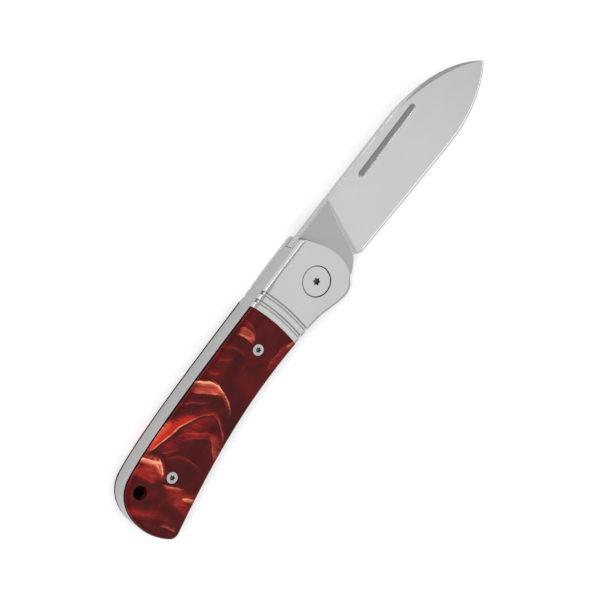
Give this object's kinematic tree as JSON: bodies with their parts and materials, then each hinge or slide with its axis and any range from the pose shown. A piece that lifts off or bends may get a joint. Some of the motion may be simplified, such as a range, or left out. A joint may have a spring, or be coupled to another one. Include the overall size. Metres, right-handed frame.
{
  "type": "folding pocket knife",
  "caption": "Slip-joint folding pocket knife with a spear-shaped steel blade, grooved steel bolsters, marbled resin scales and a full-length back spring.",
  "frame": {"origin": "middle of the underside of the open knife's box, lying on its left side", "axes": "+X from the butt of the handle to the blade's tip, +Y to the spine, +Z out through the right side of the knife, along the pivot"},
  "size_m": [0.156, 0.0218, 0.01],
  "materials": {
    "blade_steel": "satin, faint lengthwise grain",
    "frame_steel": "satin",
    "bolster_steel": "fine satin",
    "pin_steel": "plain turned",
    "bronze": "plain",
    "marbled_resin": "polished, dark red with brighter red and orange swirls"
  },
  "bodies": {
    "handle": {"back_spring": "frame_steel", "liner_right": "frame_steel", "liner_left": "frame_steel", "bolster_right": "bolster_steel", "bolster_left": "bolster_steel", "scale_right": "marbled_resin", "scale_left": "marbled_resin", "pivot_washer_right": "bronze", "pivot_washer_left": "bronze", "pivot_barrel": "bolster_steel", "pivot_screw": "bolster_steel", "spring_fulcrum_pin": "pin_steel", "spring_tail_pin": "pin_steel", "bolster_pin_upper_right": "pin_steel", "bolster_pin_upper_left": "pin_steel", "bolster_pin_lower_right": "pin_steel", "bolster_pin_lower_left": "pin_steel", "scale_screw_front_right": "pin_steel", "scale_screw_front_left": "pin_steel", "scale_screw_rear_right": "pin_steel", "scale_screw_rear_left": "pin_steel"},
    "blade": {"blade": "blade_steel"}
  },
  "joints": [
    {"name": "blade_pivot", "type": "hinge", "parent": "handle", "child": "blade", "pos_m": [0.0005, -0.00008, 0.00502], "axis": [0, 0, -1], "range_deg": [0, 174], "deforming": ["back_spring"]}
  ]
}
